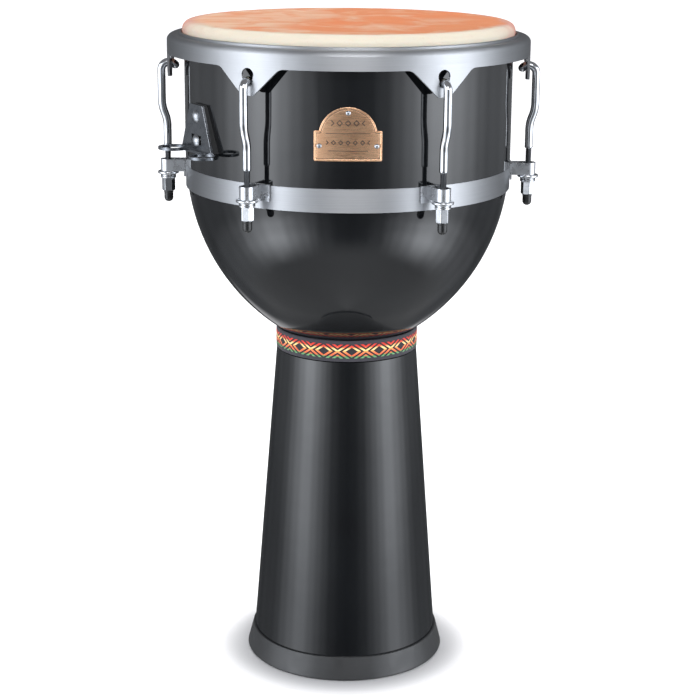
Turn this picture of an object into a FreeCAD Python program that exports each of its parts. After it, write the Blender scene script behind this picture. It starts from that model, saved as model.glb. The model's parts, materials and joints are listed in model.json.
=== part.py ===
import FreeCAD, Part
import os
import re

import Sketcher
from FreeCAD import Placement, Rotation, Vector

# A 12.5 inch rope-free djembe: a goblet of two mouldings, a steel side band that carries six lugs, and a
# counterhoop that six swan-neck rods pull down over the head.  Millimetres, +Z up, the axis of the drum
# on Z, the floor at z = 0 and the front (the badge) facing -Y.
#
# Every piece that repeats is drawn once on the +X side and turned about Z.

LUG_COUNT = 6
FIRST_LUG_ANGLE = 240.0  # degrees about Z, the lug left of the badge
BRACKET_ANGLE = 210.9
BADGE_ANGLE = 270.9
Z_AXIS = Vector(0, 0, 1)
OUTWARDS = Rotation(Vector(0, 1, 0), 90)  # turns an upright piece so that it points away from the axis

DIMENSIONS = (
    # shell
    ("shellRadius", "158.75", "outer radius of the bowl's straight side, half of 12.5 inches"),
    ("shellTop", "645.2", "bearing edge"),
    ("rimWall", "7.5", "wall of the straight side"),
    ("bowlWall", "6", "wall of the bowl and the foot tube"),
    ("edgeRound", "6", "round of the bearing edge"),
    ("bowlArc", "200", "radius of the bowl's side view"),
    ("seatDepth", "2.2", "recess for the side band"),
    ("seatBase", "487.8", "lower end of that recess"),
    ("neckRadius", "69.4", "groove for the ribbon"),
    ("neckBase", "324.2", "lower end of the groove"),
    ("neckTop", "345.8", "upper end of the groove"),
    ("neckJoint", "335", "joint between bowl and foot tube, under the ribbon"),
    ("neckChamfer", "0.8", "chamfer at the ends of the groove"),
    ("throatHeight", "350", "lower end of the bowl's inside"),
    ("seatGap", "0.4", "room for the band in its seat"),
    ("rimChamfer", "1.2", "inner chamfer of the bearing edge"),
    ("sideBase", "502.8", "lower end of the straight side, inside"),
    ("tubeRadius", "94.9", "foot tube at its lower edge"),
    ("tubeBase", "5", "lower edge of the shell"),
    ("fitGap", "0.1", "gap between pieces that are bolted or pressed together"),
    ("overcut", "1", "overshoot of a cutting tool"),
    ("drillDepth", "20", "start of a drill, inwards from the shell's outside"),
    ("drillLength", "60", "length of a drill"),
    # rubber foot
    ("footRadius", "100.9", "widest radius of the foot"),
    ("footHeight", "24.2", "outer wall of the foot"),
    ("footInner", "85.8", "bore of the foot"),
    ("footInnerHeight", "13.5", "inner wall of the foot"),
    ("footRound", "3", "lower outer corner"),
    ("footLip", "1.07", "flat of the foot's upper edge"),
    ("lipRound", "1", "round of that edge"),
    ("tubeDraft", "1.47", "narrowing of the tube over the foot's height"),
    ("innerDraft", "0.8", "lean of the foot's inner wall"),
    # ribbon and band
    ("ribbonThick", "1.3", "woven ribbon round the neck"),
    ("ribbonGap", "0.3", "ribbon clear of the two shoulders of its groove"),
    ("bandHeight", "21.8", "side band"),
    ("bandThick", "2.1", "side band"),
    ("bandBase", "488", "lower edge of the side band"),
    # head and flesh hoop
    ("skinThick", "1.2", "hide"),
    ("skinGap", "0.3", "hide clear of the shell"),
    ("fleshRing", "3.5", "radius of the flesh hoop's wire"),
    ("fleshCentre", "626.4", "height of the flesh hoop"),
    ("fleshLine", "163.85", "radius of the flesh hoop's centre line"),
    ("tuckGap", "0.1", "hide clear of the flesh hoop"),
    # counterhoop
    ("hoopRadius", "175.2", "outer radius of the counterhoop"),
    ("hoopThick", "2.3", "its sheet"),
    ("hoopBase", "617", "lower edge between the ears"),
    ("hoopTop", "634.3", "top of its flange"),
    ("hoopRound", "5.5", "outer top corner"),
    ("collarInner", "161.3", "bore of the collar"),
    ("collarTop", "636.9", "top of the collar"),
    ("collarThick", "2.2", "its sheet"),
    ("collarRound", "1.1", "round of the collar's edge"),
    ("hoopInnerRound", "3.5", "inner corner below the flange"),
    # ears
    ("earTipHalf", "5.6", "half width of its tip"),
    ("earBase", "592", "tip of the ear"),
    ("earFillet", "10", "corner between ear and hoop"),
    ("earSlope", "35.5", "half width of an ear where its corner ends"),
    ("earRoot", "2", "overlap of ear and hoop"),
    ("earShoulder", "28.5", "half width of an ear where its corner starts"),
    ("earShoulderBase", "614", "height of that place"),
    ("keyRadius", "6.3", "round part of the keyhole"),
    ("keyCentre", "610.6", "centre of the round part"),
    ("keyNeck", "606.4", "where the narrow part starts"),
    ("slotRadius", "5.2", "narrow part of the keyhole"),
    ("slotBase", "600.2", "edge that the hook hangs on"),
    ("grooveRadius", "8.3", "front face of the groove pressed in below the keyhole"),
    ("grooveSheet", "1.5", "sheet left in the groove"),
    # tension rods
    ("rodRadius", "3.9", "plain part"),
    ("threadRadius", "3", "M6 thread, pitch 1"),
    ("rodLine", "176.9", "distance of the rod from the drum's axis"),
    ("swanOffset", "5", "sideways step of the swan neck"),
    ("swanTop", "569", "upper end of the swan neck"),
    ("swanBase", "543", "lower end of the swan neck"),
    ("hookCentre", "597.7", "centre of the hook"),
    ("hookRadius", "7.7", "centre line of the hook"),
    ("hookTail", "4", "straight end of the hook"),
    ("plainBase", "524.5", "end of the plain part"),
    ("rodBase", "470.5", "end of the thread"),
    # lugs
    ("lugBase", "499.1", "underside of the lug's strap"),
    ("lugHeight", "11.7", "strap"),
    ("lugNose", "7", "outer radius of the strap's nose"),
    ("lugNoseLine", "177.2", "centre of the nose"),
    ("lugThick", "2", "strap"),
    ("plateGap", "0.2", "base plate clear of the band"),
    ("lugPlateHalf", "13", "half width of the base plate"),
    ("lugPlateHeight", "15.5", "base plate"),
    ("lugBoltHeight", "505", "height of the lug bolt"),
    ("lugBolt", "2.5", "radius of the M5 lug bolt"),
    ("lugBoltLength", "18.2", "shank"),
    ("lugBoltHead", "3", "height of its head"),
    ("lugDiscRadius", "7", "washer below its head"),
    ("lugDiscThick", "1.3", "washer below its head"),
    ("lugHexCorner", "4.55", "centre to corner of its nut"),
    ("lugHexHeight", "4", "its nut"),
    ("innerGap", "0.8", "flat washers clear of the round wall"),
    # washer, nut and cap below a lug
    ("washerHeight", "5.2", "cup washer"),
    ("washerTopRadius", "10.3", "cup washer at the lug"),
    ("washerBaseRadius", "7.4", "cup washer at the nut"),
    ("boreGap", "0.3", "hole of the cup washer round the rod"),
    ("threadGap", "0.06", "nut round the rod"),
    ("nutHeight", "14.2", "tuning nut"),
    ("nutCorner", "6.6", "centre to corner of the hexagon"),
    ("nutFlange", "7.6", "flange of the nut"),
    ("nutFlangeHeight", "1.6", "flange of the nut"),
    ("capHeight", "11.2", "rubber cap"),
    ("capRadius", "4.6", "rubber cap"),
    ("capBore", "3.4", "rubber cap"),
    ("capFloor", "469.9", "bottom of the cap's hollow"),
    # strap bracket
    ("bracketFace", "161.5", "back of the bracket's plate from the drum's axis"),
    ("bracketThick", "2.5", "bracket"),
    ("bracketTop", "575", "bracket"),
    ("bracketBase", "529.8", "bracket"),
    ("bracketTopHalf", "13", "half width at the top"),
    ("bracketBaseHalf", "33", "half width at the flange"),
    ("eyeReach", "172.3", "centre of a strap eye from the drum's axis"),
    ("eyeSpacing", "33", "centre of a strap eye from the bracket's middle"),
    ("eyeRadius", "14.5", "strap eye, outside"),
    ("eyeBore", "10.5", "strap eye, inside"),
    ("bracketBoltHigh", "564", "upper bolt"),
    ("bracketBoltLow", "541.3", "lower bolt"),
    ("bracketBolt", "3", "radius of the M6 bolts"),
    ("bracketHead", "6.3", "radius of their heads"),
    ("bracketHeadHeight", "3.2", "height of their heads"),
    ("bracketReach", "8", "length of their thread inside the shell"),
    ("bracketDiscRadius", "8", "washers on them"),
    ("bracketDiscThick", "1.6", "washers on them"),
    ("bracketHexCorner", "5.77", "centre to corner of their nuts"),
    ("bracketHexHeight", "5", "their nuts"),
    ("gasketGap", "0.15", "gasket clear of the shell"),
    ("gasketInset", "10", "start of the gasket's blank, inwards from the shell's outside"),
    ("gasketStep", "1.3", "gasket's lower edge above the flange"),
    ("adjustHalf", "10.5", "half length of the slot under the lower bolt"),
    ("adjustHalfHeight", "4.4", "half height of that slot"),
    ("adjustRise", "1.2", "middle of that slot above the bolt"),
    ("flangeInset", "2", "flange's corner from the plate's corner"),
    ("eyeOverlap", "5", "flange's edge inwards from the middle of an eye"),
    # badge
    ("badgeThick", "0.9", "badge"),
    ("badgeHalf", "30.7", "half width"),
    ("badgeArchHalf", "26", "half width of the arch"),
    ("badgeBase", "535.2", "badge"),
    ("badgeShoulder", "562.5", "foot of the arch"),
    ("badgeArch", "26.5", "radius of the arch"),
    ("pinTop", "578.6", "height of the upper pin"),
    ("pinLow", "548.9", "height of the lower pins"),
    ("pinSide", "25.8", "lower pins from the middle"),
    ("pinRadius", "1", "shank of a pin"),
    ("pinHead", "2.2", "head of a pin"),
    ("pinHeadHeight", "0.9", "head of a pin"),
    ("pinLength", "5.4", "shank of a pin"),
    ("pinDepth", "5", "shank of a pin behind its head's face"),
    ("pinSink", "1.7", "side pins' faces inwards of the middle pin's, where the shell curves back"),
)

doc = FreeCAD.newDocument("djembe")
dims = doc.addObject("Spreadsheet::Sheet", "dims")
for row, (alias, size, note) in enumerate(DIMENSIONS, start=1):
    dims.set(f"A{row}", note)
    dims.set(f"B{row}", size)
    dims.setAlias(f"B{row}", alias)
doc.recompute()


def ref(text):
    """Writes a sum of sheet words as an expression that other objects can use."""
    return re.sub(r"[A-Za-z]\w*", lambda word: "dims." + word.group(0), text)


def number(text):
    """Value of a sum of sheet words now."""
    return float(dims.evalExpression(ref(text)))


def turned(angle):
    return Placement(Vector(), Rotation(Z_AXIS, angle))


def lug_angles():
    """Number and angle of each lug, counted anticlockwise from above."""
    return [(index + 1, FIRST_LUG_ANGLE + index * 360.0 / LUG_COUNT) for index in range(LUG_COUNT)]


# ---- sketches and bodies -------------------------------------------------------------------------

def new_body(label):
    return doc.addObject("PartDesign::Body", label)


def origin_item(body, role):
    return next(item for item in body.Origin.OriginFeatures if item.Role == role)


def new_sketch(body, name, plane, offset="0"):
    """Sketch on one of the body's origin planes, moved along its normal by offset."""
    sketch = body.newObject("Sketcher::SketchObject", name)
    sketch.AttachmentSupport = (origin_item(body, plane), [""])
    sketch.MapMode = "FlatFace"
    sketch.setExpression("AttachmentOffset.Base.z", ref(offset))
    return sketch


def pin(sketch, edge, end, x, y):
    """Holds one end of an edge at the place that two expressions give."""
    for kind, axis, text in (("DistanceX", -2, x), ("DistanceY", -1, y)):
        value = number(text)
        if abs(value) < 1e-9:
            sketch.addConstraint(Sketcher.Constraint("PointOnObject", edge, end, axis))
            continue
        places = (-1, 1, edge, end) if value > 0 else (edge, end, -1, 1)
        index = sketch.addConstraint(Sketcher.Constraint(kind, *places, abs(value)))
        sketch.setExpression(f"Constraints[{index}]", ref(text if value > 0 else f"-({text})"))


def arc_between(start, end, radius):
    """Minor arc; a positive radius has its centre left of the way from start to end."""
    chord = end - start
    rise = (radius ** 2 - (chord.Length / 2) ** 2) ** 0.5
    left = Vector(-chord.y, chord.x, 0).normalize()
    centre = (start + end) * 0.5 + left * (rise if radius > 0 else -rise)
    first, last = (start, end) if radius > 0 else (end, start)
    circle = Part.Circle(centre, Z_AXIS, abs(radius))
    return Part.ArcOfCircle(circle, circle.parameter(first), circle.parameter(last))


def draw(sketch, corners, arcs, closed):
    """Edges from corner to corner.  arcs maps an edge's number to its radius expression, which starts
    with a minus where the centre lies right of the way."""
    places = [Vector(number(x), number(y), 0) for x, y in corners]
    count = len(corners) if closed else len(corners) - 1
    ends = []
    for edge in range(count):
        start, end = places[edge], places[(edge + 1) % len(corners)]
        if edge not in arcs:
            sketch.addGeometry(Part.LineSegment(start, end))
            ends.append((1, 2))
            continue
        radius = number(arcs[edge])
        sketch.addGeometry(arc_between(start, end, radius))
        ends.append((1, 2) if radius > 0 else (2, 1))
    for edge in range(count):
        pin(sketch, edge, ends[edge][0], *corners[edge])
        if closed or edge + 1 < count:
            follower = (edge + 1) % count
            joined = (edge, ends[edge][1], follower, ends[follower][0])
            sketch.addConstraint(Sketcher.Constraint("Coincident", *joined))
    if not closed:
        pin(sketch, count - 1, ends[-1][1], *corners[-1])
    for edge, text in arcs.items():
        index = sketch.addConstraint(Sketcher.Constraint("Radius", edge, abs(number(text))))
        sketch.setExpression(f"Constraints[{index}]", ref(text.lstrip("-")))


def draw_circle(sketch, x, y, radius):
    sketch.addGeometry(Part.Circle(Vector(number(x), number(y), 0), Z_AXIS, number(radius)))
    pin(sketch, 0, 3, x, y)
    index = sketch.addConstraint(Sketcher.Constraint("Radius", 0, number(radius)))
    sketch.setExpression(f"Constraints[{index}]", ref(radius))


def revolved(label, corners, arcs=None):
    """Body turned from a side view, whose corners are radius and height."""
    body = new_body(label)
    sketch = new_sketch(body, label + "_profile", "XZ_Plane")
    draw(sketch, corners, arcs or {}, closed=True)
    turn = body.newObject("PartDesign::Revolution", label + "_turn")
    turn.Profile = sketch
    turn.ReferenceAxis = (sketch, ["V_Axis"])
    turn.Angle = 360
    body.Tip = turn
    return body


def fanned(label, corners, arcs, count):
    """Body of prisms that run out from the axis along a front view, once or every 360/count degrees."""
    body = new_body(label)
    sketch = new_sketch(body, label + "_outline", "YZ_Plane")
    draw(sketch, corners, arcs, closed=True)
    pad = body.newObject("PartDesign::Pad", label + "_pad")
    pad.Profile = sketch
    pad.setExpression("Length", ref("hoopRadius + drillDepth"))
    body.Tip = pad
    if count > 1:
        pattern = body.newObject("PartDesign::PolarPattern", label + "_pattern")
        pattern.Originals = [pad]
        pattern.Axis = (origin_item(body, "Z_Axis"), [""])
        pattern.Angle = 360
        pattern.Occurrences = count
        body.Tip = pattern
    return body


# ---- primitives and booleans ---------------------------------------------------------------------

def primitive(kind, name, at=("0", "0", "0"), rotation=None, **sizes):
    """Part primitive whose sizes and place are bound to the sheet."""
    solid = doc.addObject("Part::" + kind, name)
    for size, text in sizes.items():
        solid.setExpression(size, ref(text))
    if rotation:
        solid.Placement = Placement(Vector(), rotation)
    for axis, text in zip("xyz", at):
        solid.setExpression("Placement.Base." + axis, ref(text))
    return solid


def outward_rod(name, at, radius, length):
    """Cylinder whose axis points away from the drum's axis."""
    return primitive("Cylinder", name, at, OUTWARDS, Radius=radius, Height=length)


def cut(name, base, tool):
    result = doc.addObject("Part::Cut", name)
    result.Base, result.Tool = base, tool
    return result


def common(name, base, tool):
    result = doc.addObject("Part::Common", name)
    result.Base, result.Tool = base, tool
    return result


def fuse(name, pieces):
    result = doc.addObject("Part::MultiFuse", name)
    result.Shapes = pieces
    return result


def group(name, pieces):
    """Several loose solids in one sub-part."""
    result = doc.addObject("Part::Compound", name)
    result.Links = pieces
    return result


def ring(name, outer, inner, base, height):
    """Straight-sided ring about Z."""
    outside = primitive("Cylinder", name + "_outside", ("0", "0", base), Radius=outer, Height=height)
    inside = primitive("Cylinder", name + "_inside", ("0", "0", base + " - overcut"), Radius=inner,
                       Height=height + " + 2 * overcut")
    return cut(name, outside, inside)


def box_about(name, x, half_width, z, length, height):
    """Box centred on the XZ plane, from x outwards and from z upwards."""
    return primitive("Box", name, (x, f"-({half_width})", z), Length=length, Width=f"2 * ({half_width})",
                     Height=height)


def hexagon(name, at, corner, height):
    return primitive("Prism", name, at, Circumradius=corner, Height=height)


def domed_head(name, x, y, z, radius, height):
    """Pan head of a screw that points at the drum's axis, with its flat side at x."""
    drum = outward_rod(name + "_disc", (x, y, z), radius, height)
    ball_radius = f"(({radius}) * ({radius}) + ({height}) * ({height})) / (2 * ({height}))"
    ball = primitive("Sphere", name + "_ball", (f"{x} + {height} - {ball_radius}", y, z), Radius=ball_radius)
    return common(name, drum, ball)


# ---- shell, foot, ribbon and band ----------------------------------------------------------------

def drill(name, radius, holes, angles):
    """Tools for holes through the drum's side; holes lists (sideways, height) pairs."""
    tools = []
    for number_of_angle, angle in enumerate(angles):
        rods = [
            outward_rod(f"{name}_{number_of_angle}_{index}", ("shellRadius - drillDepth", side, height),
                        radius, "drillLength")
            for index, (side, height) in enumerate(holes)
        ]
        tool = group(f"{name}_{number_of_angle}", rods)
        tool.Placement = turned(angle)
        tools.append(tool)
    return tools


def make_bowl():
    """Upper moulding of the goblet: half the groove for the ribbon, round bowl, seat for the band,
    straight side and a rounded bearing edge.  Holes: lug bolts, bracket bolts and badge pins."""
    rim_inner = "shellRadius - rimWall"
    seat = "shellRadius - seatDepth"
    seat_top = "seatBase + bandHeight + seatGap"
    corners = [
        ("neckRadius - bowlWall", "neckJoint + fitGap"), ("neckRadius", "neckJoint + fitGap"),
        ("neckRadius", "neckTop"), ("neckRadius + neckChamfer", "neckTop + neckChamfer"),
        (seat, "seatBase"), (seat, seat_top),
        ("shellRadius", seat_top), ("shellRadius", "shellTop - edgeRound"),
        ("shellRadius - edgeRound", "shellTop"), (rim_inner + " + neckChamfer", "shellTop"),
        (rim_inner, "shellTop - rimChamfer"), (rim_inner, "sideBase"),
        ("neckRadius - bowlWall", "throatHeight"),
    ]
    arcs = {3: "bowlArc", 7: "edgeRound", 11: "-(bowlArc - bowlWall)"}
    blank = revolved("bowl_blank", corners, arcs)
    lug_turns = [angle for _, angle in lug_angles()]
    tools = drill("lug_drill", "lugBolt + fitGap", [("0", "lugBoltHeight")], lug_turns)
    tools += drill("bracket_drill", "bracketBolt + fitGap",
                   [("0", "bracketBoltHigh"), ("0", "bracketBoltLow")], [BRACKET_ANGLE])
    pins = [("0", "pinTop"), ("pinSide", "pinLow"), ("-pinSide", "pinLow")]
    tools += drill("pin_drill", "pinRadius + fitGap", pins, [BADGE_ANGLE])
    return cut("bowl", blank, fuse("bowl_drills", tools))


def make_foot_tube():
    """Lower moulding of the goblet: conical tube and the other half of the ribbon's groove."""
    corners = [
        ("tubeRadius - bowlWall", "tubeBase"), ("tubeRadius", "tubeBase"),
        ("neckRadius + neckChamfer", "neckBase - neckChamfer"), ("neckRadius", "neckBase"),
        ("neckRadius", "neckJoint"), ("neckRadius - bowlWall", "neckJoint"),
        ("neckRadius - bowlWall", "neckBase"),
    ]
    return revolved("foot_tube", corners)


def make_foot_ring():
    """Rubber channel pushed onto the lower edge of the foot tube."""
    lip = "tubeRadius - tubeDraft + fitGap"
    inner_face = "tubeRadius - bowlWall - 2 * fitGap"
    corners = [
        ("footInner", "0"), ("footRadius - footRound", "0"), ("footRadius", "footRound"),
        (f"{lip} + footLip + lipRound", "footHeight - lipRound"), (f"{lip} + footLip", "footHeight"),
        (lip, "footHeight"), ("tubeRadius + fitGap", "tubeBase - fitGap"),
        (inner_face, "tubeBase - fitGap"), (f"{inner_face} - innerDraft", "footInnerHeight"),
        ("footInner", "footInnerHeight - lipRound"),
    ]
    return revolved("foot_ring", corners, {1: "footRound", 3: "lipRound"})


def make_neck_ribbon():
    return ring("neck_ribbon", "neckRadius + fitGap + ribbonThick", "neckRadius + fitGap",
                "neckBase + ribbonGap", "neckTop - neckBase - 2 * ribbonGap")


def make_side_band():
    """Steel band in the seat at the bowl's shoulder, which carries the lugs."""
    inner = "shellRadius - seatDepth + fitGap"
    plain = ring("band_plain", inner + " + bandThick", inner, "bandBase", "bandHeight")
    lug_turns = [angle for _, angle in lug_angles()]
    tools = drill("band_drill", "lugBolt + fitGap", [("0", "lugBoltHeight")], lug_turns)
    return cut("side_band", plain, fuse("band_drills", tools))


# ---- lugs ----------------------------------------------------------------------------------------

def make_lug_strap(index, angle):
    """Lug: a curved base plate with a strap welded to it, bent round the rod and open above and below."""
    name = f"lug_strap_{index}"
    plate_ring = ring(name + "_ring", "shellRadius + lugThick", "shellRadius + plateGap",
                      "lugBase + lugHeight - lugPlateHeight", "lugPlateHeight")
    plate_box = box_about(name + "_field", "shellRadius - drillDepth", "lugPlateHalf", "seatBase",
                          "2 * drillDepth", "bandHeight + 2 * overcut")
    plate = common(name + "_plate", plate_ring, plate_box)
    wall_start = "shellRadius + lugThick / 2"
    outer_box = box_about(name + "_walls", wall_start, "lugNose", "lugBase", f"lugNoseLine - ({wall_start})",
                          "lugHeight")
    nose = primitive("Cylinder", name + "_nose", ("lugNoseLine", "0", "lugBase"), Radius="lugNose",
                     Height="lugHeight")
    room_start = "shellRadius + lugThick"
    room = box_about(name + "_room", room_start, "lugNose - lugThick", "lugBase - overcut",
                     f"lugNoseLine - ({room_start})", "lugHeight + 2 * overcut")
    room_end = primitive("Cylinder", name + "_room_end", ("lugNoseLine", "0", "lugBase - overcut"),
                         Radius="lugNose - lugThick", Height="lugHeight + 2 * overcut")
    strap = cut(name + "_strap", fuse(name + "_outside", [outer_box, nose]),
                fuse(name + "_inside", [room, room_end]))
    hole = outward_rod(name + "_hole", ("shellRadius - overcut", "0", "lugBoltHeight"), "lugBolt + fitGap",
                       "2 * lugThick + overcut")
    lug = cut(name, fuse(name + "_welded", [plate, strap]), hole)
    lug.Placement = turned(angle)
    return lug


def make_cup_washer(index, angle):
    """Conical washer between lug and nut."""
    name = f"cup_washer_{index}"
    base = "lugBase - fitGap - washerHeight"
    cone = primitive("Cone", name + "_cone", ("rodLine", "0", base), Radius1="washerBaseRadius",
                     Radius2="washerTopRadius", Height="washerHeight")
    bore = primitive("Cylinder", name + "_bore", ("rodLine", "0", base + " - overcut"),
                     Radius="threadRadius + boreGap", Height="washerHeight + 2 * overcut")
    washer = cut(name, cone, bore)
    washer.Placement = turned(angle)
    return washer


NUT_BASE = "lugBase - 2 * fitGap - washerHeight - nutHeight"


def make_tuning_nut(index, angle):
    """Long hexagon nut with a round flange at its upper end."""
    name = f"tuning_nut_{index}"
    body = hexagon(name + "_hexagon", ("rodLine", "0", NUT_BASE), "nutCorner", "nutHeight")
    flange_base = NUT_BASE + " + nutHeight - nutFlangeHeight"
    flange = primitive("Cylinder", name + "_flange", ("rodLine", "0", flange_base), Radius="nutFlange",
                       Height="nutFlangeHeight")
    bore = primitive("Cylinder", name + "_bore", ("rodLine", "0", NUT_BASE + " - overcut"),
                     Radius="threadRadius + threadGap", Height="nutHeight + 2 * overcut")
    nut = cut(name, fuse(name + "_solid", [body, flange]), bore)
    nut.Placement = turned(angle)
    return nut


def make_rod_cap(index, angle):
    """Rubber cap under the nut, hollow for the end of the rod."""
    name = f"rod_cap_{index}"
    dome_centre = NUT_BASE + " - fitGap - capHeight + capRadius"
    side = primitive("Cylinder", name + "_side", ("rodLine", "0", dome_centre), Radius="capRadius",
                     Height="capHeight - capRadius")
    dome = primitive("Sphere", name + "_dome", ("rodLine", "0", dome_centre), Radius="capRadius")
    bore = primitive("Cylinder", name + "_bore", ("rodLine", "0", "capFloor"), Radius="capBore",
                     Height="capHeight")
    top = primitive("Cylinder", name + "_top", ("rodLine", "0", NUT_BASE + " - fitGap"),
                    Radius="capRadius + overcut", Height="capRadius + overcut")
    cap = cut(name, fuse(name + "_solid", [side, dome]), fuse(name + "_room", [bore, top]))
    cap.Placement = turned(angle)
    return cap


LUG_DISC_FACE = "shellRadius - rimWall - innerGap - lugDiscThick"


def make_lug_bolts():
    """Bolts from inside the shell, one behind each lug."""
    bolts = []
    for index, angle in lug_angles():
        name = f"lug_bolt_{index}"
        face = f"{LUG_DISC_FACE} - fitGap"
        shank = outward_rod(name + "_shank", (face + " - lugBoltHead / 2", "0", "lugBoltHeight"), "lugBolt",
                            "lugBoltLength")
        head = outward_rod(name + "_head", (face + " - lugBoltHead", "0", "lugBoltHeight"), "2 * lugBolt",
                           "lugBoltHead")
        bolt = fuse(name, [shank, head])
        bolt.Placement = turned(angle)
        bolts.append(bolt)
    return group("lug_bolts", bolts)


def make_lug_bolt_nuts():
    """Washers inside the shell and nuts inside the lugs."""
    pieces = []
    for index, angle in lug_angles():
        name = f"lug_fixing_{index}"
        disc = outward_rod(name + "_disc", (LUG_DISC_FACE, "0", "lugBoltHeight"), "lugDiscRadius",
                           "lugDiscThick")
        hexagon_solid = primitive("Prism", name + "_hexagon",
                                  ("shellRadius + lugThick + plateGap", "0", "lugBoltHeight"),
                                  OUTWARDS, Circumradius="lugHexCorner", Height="lugHexHeight")
        bore = outward_rod(name + "_bore", ("shellRadius - drillDepth", "0", "lugBoltHeight"),
                           "lugBolt + fitGap", "drillLength")
        washer = cut(name + "_washer", disc, bore)
        nut = cut(name + "_nut", hexagon_solid, bore)
        for piece in (washer, nut):
            piece.Placement = turned(angle)
            pieces.append(piece)
    return group("lug_bolt_nuts", pieces)


# ---- head, flesh hoop and counterhoop ------------------------------------------------------------

def make_head_skin():
    """Goat hide stretched over the bearing edge and lapped round the flesh hoop."""
    edge = "shellRadius - edgeRound"
    side = "shellRadius + skinGap"
    inner, outer = "(fleshRing + tuckGap)", "(fleshRing + tuckGap + skinThick)"
    # the lap ends at a direction whose cosine is 0.6 and whose sine is 0.8
    corners = [
        ("0", "shellTop + skinGap + skinThick"), (edge, "shellTop + skinGap + skinThick"),
        (side + " + skinThick", "shellTop - edgeRound"), (side + " + skinThick", "fleshCentre"),
        ("fleshLine", f"fleshCentre - {inner}"), (f"fleshLine + {inner}", "fleshCentre"),
        (f"fleshLine + 0.6 * {inner}", f"fleshCentre + 0.8 * {inner}"),
        (f"fleshLine + 0.6 * {outer}", f"fleshCentre + 0.8 * {outer}"),
        (f"fleshLine + {outer}", "fleshCentre"), ("fleshLine", f"fleshCentre - {outer}"),
        (side, "fleshCentre"), (side, "shellTop - edgeRound"),
        (edge, "shellTop + skinGap"), ("0", "shellTop + skinGap"),
    ]
    fold = "edgeRound + skinGap"
    arcs = {1: f"-({fold} + skinThick)", 3: inner, 4: inner, 5: inner,
            7: f"-{outer}", 8: f"-{outer}", 9: f"-{outer}", 11: fold}
    return revolved("head_skin", corners, arcs)


def make_flesh_hoop():
    return primitive("Torus", "flesh_hoop", ("0", "0", "fleshCentre"), Radius1="fleshLine",
                     Radius2="fleshRing")


def make_counterhoop():
    """Rolled steel hoop whose collar presses on the flesh hoop.  Six ears hang from its skirt, each with
    a keyhole for the hook of a rod and a groove pressed in below it."""
    skirt = "hoopRadius - hoopThick"
    flange_base = "hoopTop - hoopThick"
    corners = [
        (skirt, "hoopBase"), ("hoopRadius", "hoopBase"), ("hoopRadius", "hoopTop - hoopRound"),
        ("hoopRadius - hoopRound", "hoopTop"), ("collarInner + collarThick", "hoopTop"),
        ("collarInner + collarThick", "collarTop - collarRound"), ("collarInner + collarRound", "collarTop"),
        ("collarInner", "collarTop - collarRound"), ("collarInner", flange_base),
        (skirt + " - hoopInnerRound", flange_base), (skirt, flange_base + " - hoopInnerRound"),
    ]
    rim = revolved("hoop_rim", corners,
                   {2: "hoopRound", 5: "collarRound", 6: "collarRound", 9: "-hoopInnerRound"})

    ear_corners = [
        ("-earTipHalf", "earBase"), ("earTipHalf", "earBase"), ("earShoulder", "earShoulderBase"),
        ("earSlope", "hoopBase"), ("earSlope", "hoopBase + earRoot"), ("-earSlope", "hoopBase + earRoot"),
        ("-earSlope", "hoopBase"), ("-earShoulder", "earShoulderBase"),
    ]
    ear_arcs = {2: "-earFillet", 6: "-earFillet"}
    ear_fan = fanned("ear_fan", ear_corners, ear_arcs, LUG_COUNT)

    key_corners = [
        ("slotRadius", "keyNeck"), ("keyRadius", "keyCentre"), ("0", "keyCentre + keyRadius"),
        ("-keyRadius", "keyCentre"), ("-slotRadius", "keyNeck"), ("-slotRadius", "slotBase + slotRadius"),
        ("0", "slotBase"), ("slotRadius", "slotBase + slotRadius"),
    ]
    key_arcs = {1: "keyRadius", 2: "keyRadius", 5: "slotRadius", 6: "slotRadius"}
    key_fan = fanned("key_fan", key_corners, key_arcs, LUG_COUNT)

    groove_line = "hoopRadius - hoopThick + grooveRadius"
    backs, fronts = [], []
    for index, angle in lug_angles():
        for pieces, name, radius, below in ((backs, "back", "grooveRadius + grooveSheet", "0"),
                                            (fronts, "front", "grooveRadius", "overcut")):
            rod = primitive("Cylinder", f"groove_{name}_rod_{index}",
                            (groove_line, "0", f"earBase - {below}"), Radius=radius,
                            Height=f"slotBase - earBase + slotRadius / 2 + {below}")
            piece = group(f"groove_{name}_{index}", [rod])
            piece.Placement = turned(angle)
            pieces.append(piece)
    sheet_ring = ring("ear_sheet", "hoopRadius", skirt, "earBase", "hoopBase - earBase + earRoot")
    limit = primitive("Cylinder", "ear_limit", ("0", "0", "earBase"), Radius="hoopRadius",
                      Height="hoopBase - earBase + earRoot")
    pressed = common("ear_pressed", fuse("ear_blanks", [sheet_ring] + backs), limit)
    ears = cut("ears", common("ear_shapes", pressed, ear_fan), fuse("ear_openings", [key_fan] + fronts))
    return fuse("counterhoop", [rim, ears])


# ---- tension rods --------------------------------------------------------------------------------

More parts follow.
